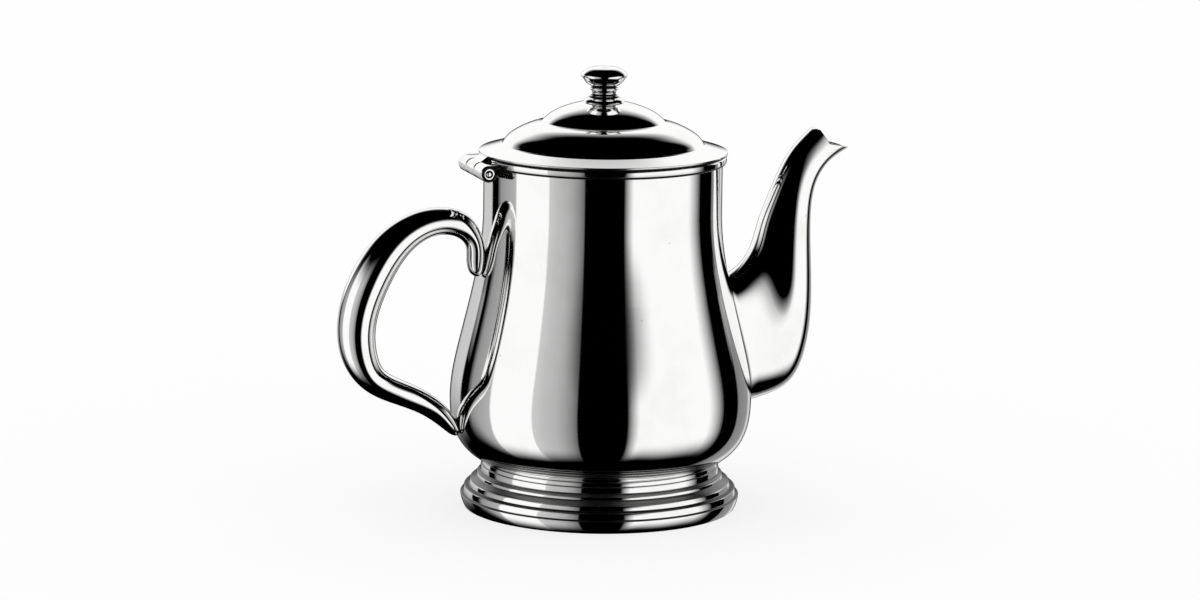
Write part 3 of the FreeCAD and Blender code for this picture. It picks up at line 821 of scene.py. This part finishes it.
def metal(name, lines, line_depth, roughness, plain, marked):
    """Polished or brushed metal: wheel lines and pits as relief, smudges and scratches in gloss and colour, and
    painted crevice shade in colour and gloss.
    """
    material = bpy.data.materials.new(name)
    material.use_nodes = True
    tree = material.node_tree
    shader = tree.nodes["Principled BSDF"]
    place = new_node(tree, "TexCoord", {}).outputs["Object"]
    wheel = new_node(tree, "Group", {}, node_tree=wheel_lines)
    tree.links.new(place, wheel.inputs["Place"])
    wheel.inputs["Lines per metre"].default_value = lines
    marks = new_node(tree, "Group", {}, node_tree=handling_marks)
    tree.links.new(place, marks.inputs["Place"])
    specks = new_node(tree, "Group", {}, node_tree=pits)
    tree.links.new(place, specks.inputs["Place"])
    specks.inputs["Pits per metre"].default_value = 160.0
    # Painted shade: the crevice attribute turns the colour near black and makes it rougher.
    crevice = new_node(tree, "Attribute", {}, attribute_name="crevice").outputs["Fac"]
    worn = reckon(tree, "MULTIPLY", marks.outputs["Scratches"], 0.6)
    relief = reckon(tree, "SUBTRACT", wheel.outputs["Lines"], worn)
    relief = reckon(tree, "SUBTRACT", relief, reckon(tree, "MULTIPLY", specks.outputs["Pits"], 1.5))
    bump = new_node(tree, "Bump", {"Height": relief, "Strength": 1.0, "Distance": line_depth})
    tree.links.new(bump.outputs[0], shader.inputs["Normal"])
    dull = reckon(tree, "MULTIPLY", marks.outputs["Smudges"], roughness * 0.8)
    dull = reckon(tree, "ADD", dull, reckon(tree, "MULTIPLY", marks.outputs["Scratches"], roughness * 0.8))
    dull = reckon(tree, "ADD", dull, reckon(tree, "MULTIPLY", crevice, crevice_shade_roughness))
    tree.links.new(reckon(tree, "ADD", dull, roughness), shader.inputs["Roughness"])
    colour = mix_colour(tree, marks.outputs["Smudges"], plain, marked)
    colour = mix_colour(tree, specks.outputs["Pits"], colour, pit_colour)
    colour = mix_colour(tree, crevice, colour, crevice_shade_colour)
    tree.links.new(colour, shader.inputs["Base Color"])
    shader.inputs["Metallic"].default_value = 1.0
    return material


def tent_shade(side, rise):
    """How light the tent is at a side angle from the camera's direction and a rise above the horizon."""
    angles, shades = np.array(tent_walls, float).T
    light = np.interp(side, angles, shades)
    away = np.abs(side)
    sky = 15 + 20 * smooth_step(away, 98, 106) - 37 * smooth_step(away, 112, 124)
    light += (1 - light) * smooth_step(rise, sky, sky + 8) * smooth_step(away, 95, 105)
    top = 22 + 30 * ((1 - np.cos(np.radians(away))) / 2) ** 2
    dip = 17 - 12 * smooth_step(away, 122, 148)
    top -= dip * smooth_step(away, 80, 105) * (1 - smooth_step(away, 150, 180))
    light *= 1 - smooth_step(rise, top - 9, top + 9)
    light *= 1 - 0.35 * smooth_step(rise, top - 12, top - 3) * smooth_step(away, 90, 130)
    low = -48 + 8 * smooth_step(away, 50, 100) + 6 * smooth_step(side, 10, 40)
    low += np.where(side > 0, -20 * smooth_step(away, 115, 140), 22 * smooth_step(away, 85, 120))
    light *= smooth_step(rise, low - 13, low + 13)
    from_boom = np.hypot((side - 8) * np.cos(np.radians(rise)), rise - 38)
    light *= smooth_step(from_boom, 21, 45)
    from_back = np.hypot((180 - away) * np.cos(np.radians(rise)), rise + 10.3)
    light *= smooth_step(from_back, 14, 26)
    return light


def light_tent():
    """Ball of soft panels round the teapot, seen only in its reflections: side and rise on a fine grid."""
    side = np.linspace(-180, 180, 721)
    rise = np.linspace(-90, 90, 181)
    sides, rises = np.meshgrid(side, rise)
    turn = np.radians(sides)
    lift = np.radians(rises)
    right = np.sin(turn) * np.cos(lift)
    towards = np.cos(turn) * np.cos(lift)
    across = right[..., None] * np.array(camera_right) + towards[..., None] * np.array(towards_camera)
    points = tent_radius * across
    points[..., 2] += tent_radius * np.sin(lift) + tent_centre
    rows, columns = sides.shape
    index = np.arange(rows * columns).reshape(rows, columns)
    faces = np.stack((index[:-1, :-1], index[:-1, 1:], index[1:, 1:], index[1:, :-1]), axis=-1).reshape(-1, 4)
    mesh = bpy.data.meshes.new("light_tent")
    mesh.from_pydata(points.reshape(-1, 3).tolist(), [], faces.tolist())
    shade = mesh.attributes.new("shade", "FLOAT", "POINT")
    shade.data.foreach_set("value", tent_shade(sides, rises).astype(np.float32).ravel())
    tent = bpy.data.objects.new("light_tent", mesh)
    bpy.context.scene.collection.objects.link(tent)
    mesh.materials.append(tent_material())
    tent.visible_camera = False
    tent.visible_diffuse = False
    tent.visible_shadow = False
    tent.visible_transmission = False


def tent_material():
    material = bpy.data.materials.new("tent_cloth")
    material.use_nodes = True
    tree = material.node_tree
    tree.nodes.clear()
    shade = new_node(tree, "Attribute", {}, attribute_name="shade").outputs["Fac"]
    glow = new_node(tree, "Emission", {"Color": shade, "Strength": 1.0})
    new_node(tree, "OutputMaterial", {"Surface": glow.outputs[0]})
    return material


def floor():
    """Plain white floor with a faint shadow; metal shows the tent instead of it."""
    reach = 6.0
    mesh = bpy.data.meshes.new("floor")
    mesh.from_pydata([(-reach, -reach, 0), (reach, -reach, 0), (reach, reach, 0), (-reach, reach, 0)], [], [(0, 1, 2, 3)])
    plane = bpy.data.objects.new("floor", mesh)
    bpy.context.scene.collection.objects.link(plane)
    material = bpy.data.materials.new("white_floor")
    material.use_nodes = True
    tree = material.node_tree
    tree.nodes.clear()
    matt = new_node(tree, "BsdfDiffuse", {"Color": (0.97, 0.97, 0.97, 1)})
    glow = new_node(tree, "Emission", {"Color": (1, 1, 1, 1), "Strength": 1.0})
    seen = new_node(tree, "LightPath", {}).outputs["Is Camera Ray"]
    share = reckon(tree, "MULTIPLY", seen, 0.7)
    both = new_node(tree, "MixShader", {0: share, 1: matt.outputs[0], 2: glow.outputs[0]})
    new_node(tree, "OutputMaterial", {"Surface": both.outputs[0]})
    mesh.materials.append(material)
    plane.visible_glossy = False


def white_world():
    world = bpy.data.worlds.new("studio")
    bpy.context.scene.world = world
    world.use_nodes = True
    background = world.node_tree.nodes["Background"]
    background.inputs["Color"].default_value = (1, 1, 1, 1)
    background.inputs["Strength"].default_value = 1.0


def photo_camera():
    """Camera at the photograph's angle, leaning a little to one side."""
    lens = bpy.data.cameras.new("camera")
    camera = bpy.data.objects.new("camera", lens)
    bpy.context.scene.collection.objects.link(camera)
    bpy.context.scene.camera = camera
    lens.sensor_width = sensor_width
    lens.lens = sensor_width * focal_pixels / picture_width
    lens.shift_x = shift_pixels[0] / picture_width
    lens.shift_y = shift_pixels[1] / picture_width
    back = towards_camera * math.cos(camera_rise) + Vector((0, 0, math.sin(camera_rise)))
    up = back.cross(camera_right)
    lean_right = camera_right * math.cos(camera_roll) + up * math.sin(camera_roll)
    lean_up = up * math.cos(camera_roll) - camera_right * math.sin(camera_roll)
    turn = Matrix((lean_right, lean_up, back)).transposed().to_4x4()
    camera.matrix_world = Matrix.Translation(camera_target + back * camera_distance) @ turn


bright = (0.96, 0.96, 0.955, 1)
pit_colour = (0.7, 0.7, 0.68, 1)
# Near-black painted shade for crevices, and the extra roughness it gets
crevice_shade_colour = (0.015, 0.015, 0.014, 1)
crevice_shade_roughness = 0.3
dimmer = (0.91, 0.91, 0.90, 1)
turned_mirror = metal("turned_mirror", 3000.0, 1.5e-7, 0.035, bright, dimmer)
pressed_mirror = metal("pressed_mirror", 900.0, 2e-7, 0.035, bright, dimmer)
satin_steel = metal("satin_steel", 5000.0, 2e-6, 0.3, (0.62, 0.61, 0.59, 1), (0.5, 0.49, 0.47, 1))

for made in (foot, mouth_bead, lid, knob, collar):
    made(turned_mirror)
for made in (spout, handle, pot_knuckles, middle_knuckle):
    made(pressed_mirror)
pin(pressed_mirror)
for node, finish in (("body_shell", turned_mirror), ("strainer_plate", satin_steel), ("lid_bezel", satin_steel),
                     ("knob_washer", satin_steel), ("knob_screw", satin_steel)):
    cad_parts[node].data.materials.clear()
    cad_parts[node].data.materials.append(finish)

light_tent()
floor()
white_world()
photo_camera()
bpy.context.scene.view_settings.view_transform = "Standard"
